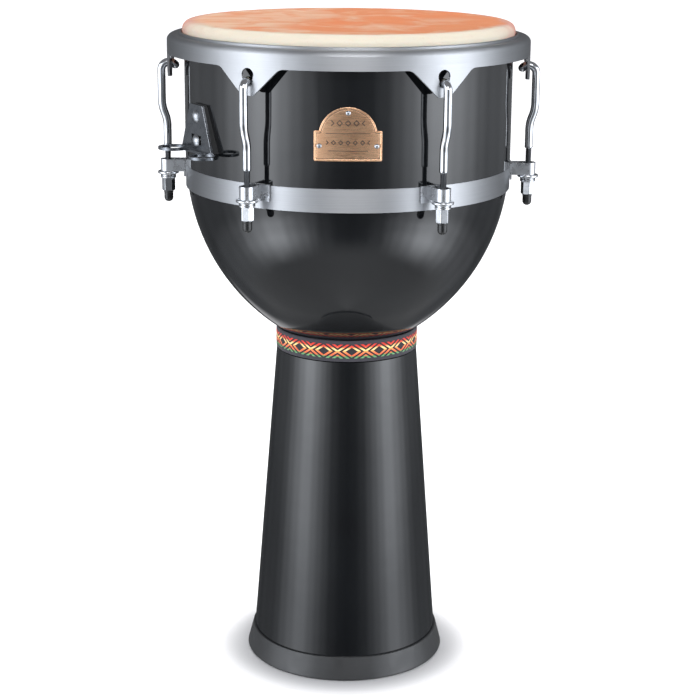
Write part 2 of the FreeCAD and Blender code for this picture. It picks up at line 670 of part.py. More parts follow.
def make_tension_rod(index, angle):
    """Swan-neck rod: a hook that hangs on the counterhoop's ear, a sideways step and an M6 thread."""
    name = f"tension_rod_{index}"
    body = new_body(name)
    step_half = "((swanTop - swanBase) / 2)"
    step_arc = f"(({step_half} * {step_half} + swanOffset * swanOffset / 4) / swanOffset)"
    middle_line, middle = "rodLine + swanOffset / 2", "(swanTop + swanBase) / 2"
    hook_line = "rodLine + swanOffset - hookRadius"
    # the hook turns by 140 degrees; its last 50 are given by the cosine and sine of 140
    tail_x, tail_z = f"{hook_line} - 0.766 * hookRadius", "hookCentre + 0.643 * hookRadius"
    corners = [
        ("rodLine", "plainBase"), ("rodLine", "swanBase"), (middle_line, middle),
        ("rodLine + swanOffset", "swanTop"), ("rodLine + swanOffset", "hookCentre"),
        (hook_line, "hookCentre + hookRadius"), (tail_x, tail_z),
        (f"{tail_x} - 0.643 * hookTail", f"{tail_z} - 0.766 * hookTail"),
    ]
    arcs = {1: f"-{step_arc}", 2: step_arc, 4: "hookRadius", 5: "hookRadius"}
    route = new_sketch(body, name + "_route", "XZ_Plane")
    draw(route, corners, arcs, closed=False)
    section = new_sketch(body, name + "_section", "XY_Plane", "plainBase")
    draw_circle(section, "rodLine", "0", "rodRadius")
    pipe = body.newObject("PartDesign::AdditivePipe", name + "_bar")
    pipe.Profile = section
    pipe.Spine = route
    thread_section = new_sketch(body, name + "_thread_section", "XY_Plane", "rodBase")
    draw_circle(thread_section, "rodLine", "0", "threadRadius")
    thread = body.newObject("PartDesign::Pad", name + "_thread")
    thread.Profile = thread_section
    thread.setExpression("Length", ref("plainBase - rodBase + overcut"))
    body.Tip = thread
    body.Placement = turned(angle)
    return body


# ---- strap bracket -------------------------------------------------------------------------------

def make_strap_bracket():
    """Folded plate with two strap eyes on its lower flange."""
    plate = trapezoid("bracket_plate", "bracketFace", "bracketThick")
    flange_base = box_about("bracket_flange", "bracketFace", "bracketBaseHalf - flangeInset", "bracketBase",
                            "eyeReach - bracketFace - eyeOverlap", "bracketThick")
    solids, holes = [plate, flange_base], []
    for side, sign in (("left", ""), ("right", "-")):
        at = ("eyeReach", f"{sign}eyeSpacing", "bracketBase")
        solids.append(primitive("Cylinder", f"eye_{side}", at, Radius="eyeRadius", Height="bracketThick"))
        low = ("eyeReach", f"{sign}eyeSpacing", "bracketBase - overcut")
        holes.append(primitive("Cylinder", f"eye_hole_{side}", low, Radius="eyeBore",
                               Height="bracketThick + 2 * overcut"))
    holes.append(outward_rod("bracket_hole_high", ("bracketFace - overcut", "0", "bracketBoltHigh"),
                             "bracketBolt + fitGap", "bracketThick + 2 * overcut"))
    holes.append(box_about("bracket_slot", "bracketFace - overcut", "adjustHalf",
                           "bracketBoltLow + adjustRise - adjustHalfHeight", "bracketThick + 2 * overcut",
                           "2 * adjustHalfHeight"))
    bracket = cut("strap_bracket", fuse("bracket_solid", solids), fuse("bracket_holes", holes))
    bracket.Placement = turned(BRACKET_ANGLE)
    return bracket


def trapezoid(name, x, thick):
    """Upright plate, narrow above and wide below, from x outwards."""
    return primitive("Wedge", name, (x, "0", "bracketBase"),
                     Rotation(Vector(1, 1, 1), 120),
                     Xmin="-bracketBaseHalf", Xmax="bracketBaseHalf",
                     X2min="-bracketTopHalf", X2max="bracketTopHalf",
                     Ymin="0", Ymax="bracketTop - bracketBase",
                     Zmin="0", Zmax=thick, Z2min="0", Z2max=thick)


def make_bracket_gasket():
    """Rubber pad, flat towards the bracket and hollow towards the shell."""
    start = "shellRadius - gasketInset"
    block = trapezoid("gasket_block", start, f"bracketFace - fitGap - ({start})")
    bore = primitive("Cylinder", "gasket_bore", ("0", "0", "bracketBase - overcut"),
                     Radius="shellRadius + gasketGap", Height="bracketTop - bracketBase + 2 * overcut")
    holes = [outward_rod(f"gasket_hole_{level}", ("shellRadius - drillDepth", "0", height),
                         "bracketBolt + fitGap", "drillLength")
             for level, height in (("high", "bracketBoltHigh"), ("low", "bracketBoltLow"))]
    flange_room = box_about("gasket_foot", "shellRadius - drillDepth", "bracketBaseHalf + overcut",
                            "bracketBase - overcut", "drillLength", "bracketThick + gasketStep")
    pad = cut("bracket_gasket", block, fuse("gasket_openings", [bore, flange_room] + holes))
    pad.Placement = turned(BRACKET_ANGLE)
    return pad


def make_bracket_bolts():
    """Two dome-headed bolts."""
    bolts = []
    face = "bracketFace + bracketThick + fitGap"
    for level, height in (("high", "bracketBoltHigh"), ("low", "bracketBoltLow")):
        head = domed_head(f"bracket_head_{level}", face, "0", height, "bracketHead", "bracketHeadHeight")
        start = "shellRadius - rimWall - bracketReach"
        shank = outward_rod(f"bracket_shank_{level}", (start, "0", height), "bracketBolt",
                            f"{face} + bracketHeadHeight / 2 - ({start})")
        bolt = fuse(f"bracket_bolt_{level}", [head, shank])
        bolt.Placement = turned(BRACKET_ANGLE)
        bolts.append(bolt)
    return group("bracket_bolts", bolts)


def make_bracket_nuts():
    """Washers and nuts inside the shell."""
    pieces = []
    for level, height in (("high", "bracketBoltHigh"), ("low", "bracketBoltLow")):
        disc_face = "shellRadius - rimWall - innerGap - bracketDiscThick"
        disc = outward_rod(f"bracket_disc_{level}", (disc_face, "0", height), "bracketDiscRadius",
                           "bracketDiscThick")
        hexagon_solid = primitive("Prism", f"bracket_hexagon_{level}",
                                  (f"{disc_face} - fitGap - bracketHexHeight", "0", height), OUTWARDS,
                                  Circumradius="bracketHexCorner", Height="bracketHexHeight")
        bore = outward_rod(f"bracket_bore_{level}", ("shellRadius - drillDepth", "0", height),
                           "bracketBolt + fitGap", "drillLength")
        for kind, blank in (("washer", disc), ("nut", hexagon_solid)):
            piece = cut(f"bracket_{kind}_{level}", blank, bore)
            piece.Placement = turned(BRACKET_ANGLE)
            pieces.append(piece)
    return group("bracket_nuts", pieces)


# ---- badge ---------------------------------------------------------------------------------------

BADGE_PINS = (("top", "0", "pinTop"), ("left", "-pinSide", "pinLow"), ("right", "pinSide", "pinLow"))


def make_badge():
    """Arched metal badge bent to the shell, with no lettering."""
    corners = [
        ("-badgeHalf", "badgeBase"), ("badgeHalf", "badgeBase"), ("badgeHalf", "badgeShoulder"),
        ("badgeArchHalf", "badgeShoulder"), ("-badgeArchHalf", "badgeShoulder"),
        ("-badgeHalf", "badgeShoulder"),
    ]
    outline = fanned("badge_outline", corners, {3: "badgeArch"}, 1)
    inner = "shellRadius + fitGap"
    sheet_ring = ring("badge_sheet", inner + " + badgeThick", inner, "badgeBase - overcut", "drillLength")
    holes = [outward_rod(f"badge_hole_{place}", ("shellRadius - drillDepth", side, height),
                         "pinRadius + fitGap", "drillLength")
             for place, side, height in BADGE_PINS]
    badge = cut("badge", common("badge_plain", sheet_ring, outline), fuse("badge_holes", holes))
    badge.Placement = turned(BADGE_ANGLE)
    return badge


def make_badge_pins():
    pins = []
    for place, side, height in BADGE_PINS:
        face = "shellRadius + badgeThick + 2 * fitGap"
        start = face if side == "0" else f"{face} - pinSink"
        head = domed_head(f"pin_head_{place}", start, side, height, "pinHead", "pinHeadHeight")
        shank = outward_rod(f"pin_shank_{place}", (start + " - pinDepth", side, height), "pinRadius",
                            "pinLength")
        pins.append(fuse(f"pin_{place}", [head, shank]))
    pins_node = group("badge_pins", pins)
    pins_node.Placement = turned(BADGE_ANGLE)
    return pins_node


# ---- assembly ------------------------------------------------------------------------------------

def make_nodes():
    nodes = [make_bowl(), make_foot_tube(), make_foot_ring(), make_neck_ribbon(), make_side_band()]
    for index, angle in lug_angles():
        nodes.append(make_lug_strap(index, angle))
        nodes.append(make_cup_washer(index, angle))
        nodes.append(make_tuning_nut(index, angle))
        nodes.append(make_rod_cap(index, angle))
        nodes.append(make_tension_rod(index, angle))
    nodes += [make_lug_bolts(), make_lug_bolt_nuts()]
    nodes += [make_head_skin(), make_flesh_hoop(), make_counterhoop()]
    nodes += [make_strap_bracket(), make_bracket_gasket(), make_bracket_bolts(), make_bracket_nuts()]
    nodes += [make_badge(), make_badge_pins()]
    return nodes


def check(nodes):
    for item in doc.Objects:
        if "Invalid" in item.State or "Error" in item.State:
            raise RuntimeError(f"{item.Label} failed: {item.State}")
    for node in nodes:
        if node.Shape.isNull() or not node.Shape.isValid() or not node.Shape.Solids:
            raise RuntimeError(f"{node.Label} has no valid solid")


def export(nodes):
    os.makedirs("parts", exist_ok=True)
    for node in nodes:
        node.Shape.exportStep(f"parts/{node.Label}.step")


sub_parts = make_nodes()
doc.recompute()
check(sub_parts)
export(sub_parts)
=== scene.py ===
"""Looks of a rope-free djembe: lacquered goblet shell, brushed hoops, chromed swan-neck rods, a goat hide
and a woven ribbon.  Metres, +Z up, the drum's axis on Z and the badge facing -Y."""

import json
import math

import bmesh
import bpy
import numpy as np
from mathutils import Matrix, Vector


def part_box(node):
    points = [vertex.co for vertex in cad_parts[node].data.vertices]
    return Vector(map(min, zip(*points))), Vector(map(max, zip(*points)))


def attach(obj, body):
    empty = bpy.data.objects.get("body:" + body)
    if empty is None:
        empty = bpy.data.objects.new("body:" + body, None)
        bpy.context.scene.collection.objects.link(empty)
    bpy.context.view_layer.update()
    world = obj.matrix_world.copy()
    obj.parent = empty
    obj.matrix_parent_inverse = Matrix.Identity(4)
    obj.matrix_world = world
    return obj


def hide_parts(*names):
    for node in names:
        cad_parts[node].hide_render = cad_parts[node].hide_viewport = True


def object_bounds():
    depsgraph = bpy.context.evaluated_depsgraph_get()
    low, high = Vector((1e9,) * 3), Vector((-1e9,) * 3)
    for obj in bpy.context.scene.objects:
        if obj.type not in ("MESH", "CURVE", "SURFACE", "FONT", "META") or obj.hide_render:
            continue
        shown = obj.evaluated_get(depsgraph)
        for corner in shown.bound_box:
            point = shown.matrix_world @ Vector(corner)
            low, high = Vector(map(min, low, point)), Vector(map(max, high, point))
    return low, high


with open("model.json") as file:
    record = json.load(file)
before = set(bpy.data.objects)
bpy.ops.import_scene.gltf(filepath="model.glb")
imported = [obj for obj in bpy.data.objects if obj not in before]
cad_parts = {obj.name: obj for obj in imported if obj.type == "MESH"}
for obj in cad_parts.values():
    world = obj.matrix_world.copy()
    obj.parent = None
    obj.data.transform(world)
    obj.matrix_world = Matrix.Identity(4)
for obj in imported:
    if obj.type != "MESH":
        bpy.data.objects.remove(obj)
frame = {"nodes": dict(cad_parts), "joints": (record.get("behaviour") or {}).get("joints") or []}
cad_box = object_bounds()

NODES = frame["nodes"]
MM = 0.001
TURN = 2 * math.pi

# ---- places that the frame gives -----------------------------------------------------------------

NUT_PLACES = {joint["name"]: joint["pos_m"] for joint in frame["joints"] if "pos_m" in joint}
LUGS = range(1, len(NUT_PLACES) + 1)
LUG_PLACES = {index: NUT_PLACES[f"nut_{index}_turn"] for index in LUGS}
ROD_LINE = math.hypot(*LUG_PLACES[1][:2])
HEAD_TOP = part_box("head_skin")[1].z
BADGE_LOW, BADGE_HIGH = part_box("badge")
BADGE_INNER = 158.85        # mm, the plate's inner face from the drum's axis
BADGE_MIDDLE = math.asin((BADGE_LOW.x + BADGE_HIGH.x) / 2 / 0.1589) - math.pi / 2
THREAD_LENGTH = 54.0
THREAD_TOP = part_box("tension_rod_1")[0].z + THREAD_LENGTH * MM


# ---- meshes --------------------------------------------------------------------------------------

def surface(name, points, loop_rows=False, fan_first=False, fan_last=False, uv=None, sharp=35):
    """Mesh of a grid points[row, column], whose columns close on themselves.  A fan closes an end at the
    mean of its row.  Without uv, u runs once round the columns and v once along the rows."""
    rows, columns = points.shape[:2]
    index = np.arange(rows * columns).reshape(rows, columns)
    low = index if loop_rows else index[:-1]
    high = np.roll(index, -1, 0) if loop_rows else index[1:]
    quads = np.stack([low, np.roll(low, -1, 1), np.roll(high, -1, 1), high], -1).reshape(-1, 4)
    across = np.arange(columns) / columns
    along = np.arange(rows) / max(rows - 1, 1)
    if uv is None:
        first = np.stack(np.meshgrid(across, along[:len(low)]), -1)
        step = np.array([[0, 0], [1 / columns, 0], [1 / columns, 1 / max(rows - 1, 1)],
                         [0, 1 / max(rows - 1, 1)]])
        corners = first[:, :, None] + step
    else:
        corners = uv.reshape(-1, 2)[quads]
    faces, places = quads.tolist(), [points.reshape(-1, 3)]
    corners = [corners.reshape(-1, 2)]
    for wanted, row, edge in ((fan_first, points[0], index[0]), (fan_last, points[-1], index[-1])):
        if wanted:
            hub = sum(len(block) for block in places)
            places.append(row.mean(0, keepdims=True))
            spokes = np.stack([edge, np.roll(edge, -1), np.full(columns, hub)], -1)
            faces += spokes.tolist()
            rim = np.zeros((rows * columns, 2)) if uv is None else uv.reshape(-1, 2)
            hub_uv = rim[edge].mean(0)
            corners.append(np.stack([rim[edge], rim[np.roll(edge, -1)],
                                     np.broadcast_to(hub_uv, (columns, 2))], 1).reshape(-1, 2))
    mesh = bpy.data.meshes.new(name)
    mesh.from_pydata(np.concatenate(places), [], faces)
    layer = mesh.uv_layers.new(name="UVMap")
    layer.data.foreach_set("uv", np.concatenate(corners).astype(np.float32).ravel())
    tidy = bmesh.new()
    tidy.from_mesh(mesh)
    bmesh.ops.recalc_face_normals(tidy, faces=tidy.faces)
    tidy.to_mesh(mesh)
    tidy.free()
    mesh.shade_smooth()
    mesh.set_sharp_from_angle(angle=math.radians(sharp))
    piece = bpy.data.objects.new(name, mesh)
    bpy.context.scene.collection.objects.link(piece)
    return piece


def rounded(corners, steps=5):
    """Closed outline from corners (x, z, radius) in millimetres.  Each arc starts and ends radius divided
    by the tangent of half the inner angle from its corner."""
    count = len(corners)
    parts = []
    for index, (x, z, radius) in enumerate(corners):
        corner = np.array([x, z], float)
        before = np.array(corners[index - 1][:2], float) - corner
        after = np.array(corners[(index + 1) % count][:2], float) - corner
        before, after = before / np.linalg.norm(before), after / np.linalg.norm(after)
        half = math.acos(np.clip(before @ after, -1, 1)) / 2
        if radius == 0 or half > 1.56:
            parts.append(corner[None])
            continue
        middle = (before + after) / np.linalg.norm(before + after)
        centre = corner + middle * radius / math.sin(half)
        start = corner + before * radius / math.tan(half) - centre
        end = corner + after * radius / math.tan(half) - centre
        sweep = math.pi - 2 * half
        share = np.linspace(0, 1, steps + 1)[:, None]
        parts.append(centre + (np.sin((1 - share) * sweep) * start + np.sin(share * sweep) * end)
                     / math.sin(sweep))
    return np.concatenate(parts)


def walk(start, heading, moves, step):
    """Points and headings along a path of runs (length, turn): a run with no turn is straight, and the
    others are arcs of radius length / turn.  Millimetres and radians, in the XZ plane."""
    places, headings = [np.array([start], float)], [np.array([heading])]
    for length, turn in moves:
        count = max(2, int(math.ceil(length / step)))
        share = np.linspace(0, 1, count + 1)[1:]
        here, way = places[-1][-1], headings[-1][-1]
        if turn == 0:
            run = share[:, None] * length * np.array([math.cos(way), math.sin(way)])
        else:
            radius = length / turn
            ways = way + share * turn
            run = radius * np.stack([np.sin(ways) - math.sin(way), math.cos(way) - np.cos(ways)], -1)
        places.append(here + run)
        headings.append(way + share * turn)
    return np.concatenate(places), np.concatenate(headings)


def lathe(outline, columns, centre=0.0):
    """Outline (radius, height) in millimetres turned about an upright axis at x = centre."""
    angle = np.arange(columns) * TURN / columns
    radius, height = outline[:, 0, None], outline[:, 1, None]
    x, y = radius * np.cos(angle) + centre, radius * np.sin(angle)
    return np.stack([x, y, np.broadcast_to(height, x.shape)], -1) * MM


def about_axis(points, angle):
    """Points turned about the drum's axis."""
    c, s = math.cos(angle), math.sin(angle)
    return np.stack([points[..., 0] * c - points[..., 1] * s, points[..., 0] * s + points[..., 1] * c,
                     points[..., 2]], -1)


def lug_angle(index):
    x, y, _ = LUG_PLACES[index]
    return math.atan2(y, x)


def place(piece, body, material, slot, *replaced):
    """Gives a new piece its finish and its body, and hides the plain nodes that it stands for."""
    piece.data.materials.append(material)
    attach(piece, body)
    if replaced:
        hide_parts(*replaced)
    return piece


def even_shading(piece):
    """Keeps flat faces flat beside small rounds."""
    shading = piece.modifiers.new("even_shading", "WEIGHTED_NORMAL")
    shading.keep_sharp = True
    return piece


# ---- node helper and colours ---------------------------------------------------------------------

def linear(colour):
    """sRGB hex to the linear values that shaders take."""
    share = np.array([int(colour[place:place + 2], 16) for place in (1, 3, 5)]) / 255
    return (*np.where(share <= 0.04045, share / 12.92, ((share + 0.055) / 1.055) ** 2.4), 1.0)


def add(tree, kind, inputs=None, **settings):
    """Adds a shader node.  inputs maps its inputs to values or to sockets of other nodes."""
    node = tree.nodes.new("ShaderNode" + kind)
    for name, value in settings.items():
        setattr(node, name, value)
    for name, value in (inputs or {}).items():
        if isinstance(value, bpy.types.NodeSocket):
            tree.links.new(value, node.inputs[name])
        else:
            node.inputs[name].default_value = value
    return node


def maths(tree, operation, *values):
    return add(tree, "Math", dict(enumerate(values)), operation=operation).outputs[0]


def noise(tree, vector, size_mm, detail=3.0, rough=0.55, warp=0.0):
    """Noise whose lumps are about size_mm across, where vector is in metres."""
    inputs = {"Vector": vector, "Scale": 1 / (size_mm * MM), "Detail": detail, "Roughness": rough,
              "Distortion": warp}
    return add(tree, "TexNoise", inputs).outputs["Fac"]


def stretched(tree, vector, scale):
    return add(tree, "Mapping", {"Vector": vector, "Scale": scale}).outputs["Vector"]


def spread(tree, value, low, high, to_low, to_high, smooth=False):
    """Value from low..high taken to to_low..to_high."""
    kind = "SMOOTHSTEP" if smooth else "LINEAR"
    inputs = {"Value": value, "From Min": low, "From Max": high, "To Min": to_low, "To Max": to_high}
    return add(tree, "MapRange", inputs, interpolation_type=kind).outputs[0]


def blend(tree, share, first, second):
    """Colour between first and second."""
    node = add(tree, "Mix", data_type="RGBA")
    for socket, value in ((node.inputs[0], share), (node.inputs[6], first), (node.inputs[7], second)):
        if isinstance(value, bpy.types.NodeSocket):
            tree.links.new(value, socket)
        else:
            socket.default_value = value
    return node.outputs[2]


def ramp(tree, share, stops, interpolation="LINEAR"):
    """Colour along stops (share, colour)."""
    node = add(tree, "ValToRGB", {"Fac": share})
    node.color_ramp.interpolation = interpolation
    elements = node.color_ramp.elements
    while len(elements) < len(stops):
        elements.new(0.5)
    for element, (position, colour) in zip(elements, stops):
        element.position, element.color = position, colour
    return node.outputs[0]


def bump(tree, height, depth_mm, normal=None):
    """Bump whose height of 0 to 1 is depth_mm deep."""
    inputs = {"Height": height, "Distance": depth_mm * MM, "Strength": 1.0}
    if normal is not None:
        inputs["Normal"] = normal
    return add(tree, "Bump", inputs).outputs[0]


def finish(name, **shader_values):
    """New material: its tree, its Object coordinates and its shader."""
    material = bpy.data.materials.new(name)
    material.use_nodes = True
    tree = material.node_tree
    tree.nodes.clear()
    shader = add(tree, "BsdfPrincipled",
                 {key.replace("_", " "): value for key, value in shader_values.items()})
    add(tree, "OutputMaterial", {"Surface": shader.outputs[0]})
    place_of = add(tree, "TexCoord")
    return material, tree, place_of, shader


def wire(tree, source, shader, socket):
    tree.links.new(source, shader.inputs[socket])


def from_axis(tree, vector):
    """Distance from the drum's axis, and height."""
    parts = add(tree, "SeparateXYZ", {"Vector": vector})
    squares = [maths(tree, "MULTIPLY", parts.outputs[axis], parts.outputs[axis]) for axis in (0, 1)]
    return maths(tree, "SQRT", maths(tree, "ADD", *squares)), parts.outputs[2]


# ---- finishes ------------------------------------------------------------------------------------

def black_lacquer():
    """Black polyester lacquer, flow coated and polished: near black, mirror sharp, with a faint slow
    waviness.  The inside is bare chopped-strand fibreglass in dark resin."""
    material, tree, place_of, shader = finish("black_lacquer", IOR=1.5)
    here = place_of.outputs["Object"]
    radial = add(tree, "VectorMath", {0: here, 1: (1, 1, 0)}, operation="MULTIPLY")
    facing = add(tree, "VectorMath", {0: radial.outputs[0], 1: place_of.outputs["Normal"]},
                 operation="DOT_PRODUCT").outputs["Value"]
    inside = spread(tree, facing, -0.01, -0.02, 0.0, 1.0)
    haze = noise(tree, here, 60, 4)
    strands = noise(tree, stretched(tree, here, (1.0, 1.0, 0.3)), 4, 6, 0.7, 1.5)
    lacquer = blend(tree, spread(tree, haze, 0.3, 0.7, 0, 1), linear("#0a0b0d"), linear("#0e1012"))
    resin = blend(tree, spread(tree, strands, 0.35, 0.65, 0, 1), linear("#1b1a18"), linear("#45413a"))
    wire(tree, blend(tree, inside, lacquer, resin), shader, "Base Color")
    polished = spread(tree, haze, 0.35, 0.75, 0.035, 0.085)
    rough = add(tree, "Mix", {0: inside, 2: polished, 3: 0.62}, data_type="FLOAT").outputs[0]
    wire(tree, rough, shader, "Roughness")
    slow = bump(tree, noise(tree, here, 26, 1), 0.07)
    fibres = bump(tree, maths(tree, "MULTIPLY", strands, inside), 0.5, slow)
    wire(tree, fibres, shader, "Normal")
    return material


def brushed_steel(name, colour, grain_mm, rough):
    """Stainless steel brushed round the hoop with a fine belt: bright, with long fine scratches that
    spread each reflection up and down.  The scratches are drawn about 0.5 mm apart so that they show."""
    material, tree, place_of, shader = finish(name, Metallic=1.0, Anisotropic=0.8, Anisotropic_Rotation=0.25)
    here = place_of.outputs["Object"]
    distance, height = from_axis(tree, here)
    parts = add(tree, "SeparateXYZ", {"Vector": here})
    across = maths(tree, "MULTIPLY", maths(tree, "ADD", distance, height), 1 / (grain_mm * MM))
    lengthwise = [maths(tree, "MULTIPLY", parts.outputs[axis], 16.0) for axis in (0, 1)]
    grain_place = add(tree, "CombineXYZ", {0: lengthwise[0], 1: lengthwise[1], 2: across}).outputs[0]
    grain = add(tree, "TexNoise", {"Vector": grain_place, "Scale": 1.0, "Detail": 4.0,
                                   "Roughness": 0.65}).outputs["Fac"]
    cloud = noise(tree, here, 45, 3)
    tone = spread(tree, maths(tree, "ADD", grain, maths(tree, "MULTIPLY", cloud, 0.4)), 0.5, 0.95, 0, 1)
    wire(tree, blend(tree, tone, linear(colour[0]), linear(colour[1])), shader, "Base Color")
    wire(tree, spread(tree, grain, 0.3, 0.7, rough - 0.06, rough + 0.08), shader, "Roughness")
    wire(tree, bump(tree, grain, 0.005), shader, "Normal")
    return material


def chrome(name, bright, dull, rough, pitting_mm, plain_above=-1.0):
    """Decorative chrome on polished steel: mirror bright and slightly blue, with faint polishing waves
    and a little haze where hands have been.  Below plain_above it is a rolled thread, darker and rougher."""
    material, tree, place_of, shader = finish(name, Metallic=1.0)
    here = place_of.outputs["Object"]
    haze = noise(tree, here, 9, 4, 0.6)
    thread = maths(tree, "LESS_THAN", add(tree, "SeparateXYZ", {"Vector": here}).outputs[2], plain_above)
    plating = blend(tree, spread(tree, haze, 0.35, 0.7, 0, 1), linear(bright), linear(dull))
    darker_thread, thread_rough = linear("#6f7174"), 0.22
    wire(tree, blend(tree, thread, plating, darker_thread), shader, "Base Color")
    polish = spread(tree, haze, 0.35, 0.75, rough * 0.7, rough * 1.5)
    wire(tree, maths(tree, "MULTIPLY_ADD", thread, thread_rough, polish), shader, "Roughness")
    wire(tree, bump(tree, noise(tree, here, pitting_mm, 2), 0.008), shader, "Normal")
    return material


def moulded_rubber(name, dark, light, rough):
    """Black natural rubber from a turned mould: matt, greyed by a little bloom, with fine rings left by
    the mould and a speckle of dust."""
    material, tree, place_of, shader = finish(name, IOR=1.52, Sheen_Weight=0.05, Sheen_Roughness=0.5)
    here = place_of.outputs["Object"]
    rings = noise(tree, stretched(tree, here, (0.02, 0.02, 1.0)), 0.7, 3, 0.7)
    bloom = noise(tree, here, 24, 5, 0.65)
    specks = noise(tree, here, 0.8, 1)
    tone = maths(tree, "ADD", maths(tree, "MULTIPLY", rings, 0.35), maths(tree, "MULTIPLY", bloom, 0.65))
    wire(tree, blend(tree, spread(tree, tone, 0.36, 0.64, 0, 1), linear(dark), linear(light)),
         shader, "Base Color")
    wire(tree, spread(tree, bloom, 0.3, 0.7, rough - 0.08, rough + 0.1), shader, "Roughness")
    grain = bump(tree, specks, 0.05)
    wire(tree, bump(tree, rings, 0.04, grain), shader, "Normal")
    return material


def goat_hide():
    """Shaved goat hide under tension: a warm peach membrane, pinker where bent over the edge and cream at the
    front of the edge, a painted highlight, with the darker line of the spine, blotches, fine pores and a
    satin surface."""
    material, tree, place_of, shader = finish("goat_hide", IOR=1.45, Subsurface_Weight=0.12,
                                              Subsurface_Scale=0.003)
    here = place_of.outputs["Object"]
    distance, _ = from_axis(tree, here)
    blotch = noise(tree, here, 42, 4, 0.55, 0.8)
    rightward, forward, _ = add(tree, "SeparateXYZ", {"Vector": here}).outputs
    shade = maths(tree, "ADD", blotch, rightward)
    spine_place = add(tree, "Mapping", {"Vector": here, "Location": (0.014, -0.004, 0.0),
                                        "Rotation": (0, 0, math.radians(-44))}, vector_type="TEXTURE")
    sideways = add(tree, "SeparateXYZ", {"Vector": spine_place.outputs[0]}).outputs[0]
    wander = spread(tree, noise(tree, here, 90, 2), 0.2, 0.8, -0.045, 0.045)
    off_spine = maths(tree, "ABSOLUTE", maths(tree, "ADD", sideways, wander))
    spine = spread(tree, off_spine, 0.004, 0.042, 1.0, 0.0, smooth=True)
    warm = blend(tree, spread(tree, shade, 0.32, 0.6, 0, 1), linear("#d2aa8e"), linear("#c87d54"))
    streaked = blend(tree, maths(tree, "MULTIPLY", spine, spread(tree, shade, 0.3, 0.62, 0.1, 0.95)),
                     warm, linear("#cc7a4e"))
    ragged = maths(tree, "ADD", distance, spread(tree, noise(tree, here, 16, 3), 0.3, 0.7, -0.003, 0.003))
    edge = spread(tree, ragged, 0.143, 0.155, 0.0, 1.0, smooth=True)
    # Painted highlight: the bent-over edge turns cream at the front, where the light falls on it, and pinker
    # towards the sides and back.
    away_from_painted_highlight = spread(tree, maths(tree, "ADD", forward, spread(tree, blotch, 0.3, 0.7, -0.02, 0.02)),
                   -0.1, -0.02, 0.0, 1.0, smooth=True)
    bent_with_painted_highlight = blend(tree, away_from_painted_highlight, linear("#ccc3b1"), linear("#c08e7f"))
    colour = blend(tree, edge, streaked, bent_with_painted_highlight)
    pores = noise(tree, stretched(tree, here, (1.0, 0.55, 1.0)), 0.9, 2, 0.6)
    dotted = blend(tree, spread(tree, pores, 0.62, 0.75, 0, 0.35), colour, linear("#a8714c"))
    wire(tree, dotted, shader, "Base Color")
    wire(tree, spread(tree, blotch, 0.3, 0.7, 0.42, 0.58), shader, "Roughness")
    fine = bump(tree, pores, 0.06)
    wire(tree, bump(tree, noise(tree, here, 7, 3), 0.12, fine), shader, "Normal")
    return material


RIBBON_REPEATS = 16
RIBBON_START = 0.275        # share of a repeat from +X to the first crossing
STROKE_REPEAT = 0.40        # one stroke and one gap, as a share of half the ribbon's height
STROKE_SHARE = 0.50         # of that, the stroke
STROKE_RISE = 1.77          # height that a stroke gains in one repeat
FIRST_STROKE = 0.485        # height of the first stroke above a lozenge's middle
PATTERN_HALF = 0.66         # the plain margins begin here


def jacquard_ribbon():
    """Jacquard ribbon in rayon on black cotton.  A stroke lies where the height above the middle plus the
    rise along the ribbon from a lozenge's middle is a whole number of repeats past the first stroke, so
    strokes cross half-way between lozenges.  Red at the top, yellow at the middle, orange below and
    green at the foot.  Threads are drawn 0.6 mm apart."""
    material, tree, place_of, shader = finish("jacquard_ribbon", Roughness=0.7, Sheen_Weight=0.12,
                                              Sheen_Roughness=0.4)
    parts = add(tree, "SeparateXYZ", {"Vector": place_of.outputs["UV"]})
    repeat = maths(tree, "MULTIPLY_ADD", parts.outputs[0], float(RIBBON_REPEATS), RIBBON_START + 0.5)
    level = spread(tree, parts.outputs[1], 0.0, 1.0, -1.0, 1.0)
    height = maths(tree, "ABSOLUTE", level)
    rise = maths(tree, "MULTIPLY", maths(tree, "PINGPONG", repeat, 0.5), STROKE_RISE)
    steps = maths(tree, "DIVIDE", maths(tree, "SUBTRACT", maths(tree, "ADD", height, rise), FIRST_STROKE),
                  STROKE_REPEAT)
    off_stroke = maths(tree, "PINGPONG", maths(tree, "ABSOLUTE", steps), 0.5)
    stroke = maths(tree, "LESS_THAN", off_stroke, STROKE_SHARE / 2)
    outside_lozenge = maths(tree, "GREATER_THAN", steps, -0.5)
    within = maths(tree, "LESS_THAN", height, PATTERN_HALF)
    shown = maths(tree, "MULTIPLY", maths(tree, "MULTIPLY", stroke, outside_lozenge), within)
    dyes = ((0.0, "#7fae7c"), (0.12, "#359456"), (0.22, "#f2603a"), (0.42, "#ff8c55"), (0.5, "#ffa348"),
            (0.56, "#ffe3a0"), (0.7, "#ffd78c"), (0.8, "#e8452c"), (1.0, "#d42a26"))
    dyed = ramp(tree, spread(tree, level, -PATTERN_HALF, PATTERN_HALF, 0, 1),
                [(position, linear(colour)) for position, colour in dyes])
    threads = maths(tree, "SINE", maths(tree, "MULTIPLY", parts.outputs[0], TURN * 740))
    rows = maths(tree, "SINE", maths(tree, "MULTIPLY", parts.outputs[1], TURN * 34))
    weave = spread(tree, maths(tree, "MULTIPLY", threads, rows), -1, 1, 0, 1)
    margin = maths(tree, "SUBTRACT", 1.0, within)
    cotton = blend(tree, margin, linear("#0d0b0d"), linear("#2b2930"))
    ground = blend(tree, maths(tree, "MULTIPLY", weave, 0.4), cotton, linear("#39363f"))
    silk = blend(tree, spread(tree, weave, 0, 1, 0.0, 0.12), dyed, linear("#5a1a0c"))
    wire(tree, blend(tree, shown, ground, silk), shader, "Base Color")
    wire(tree, bump(tree, weave, 0.12), shader, "Normal")
    return material


BORDER_LINE = 2.3           # mm in from the badge's outline


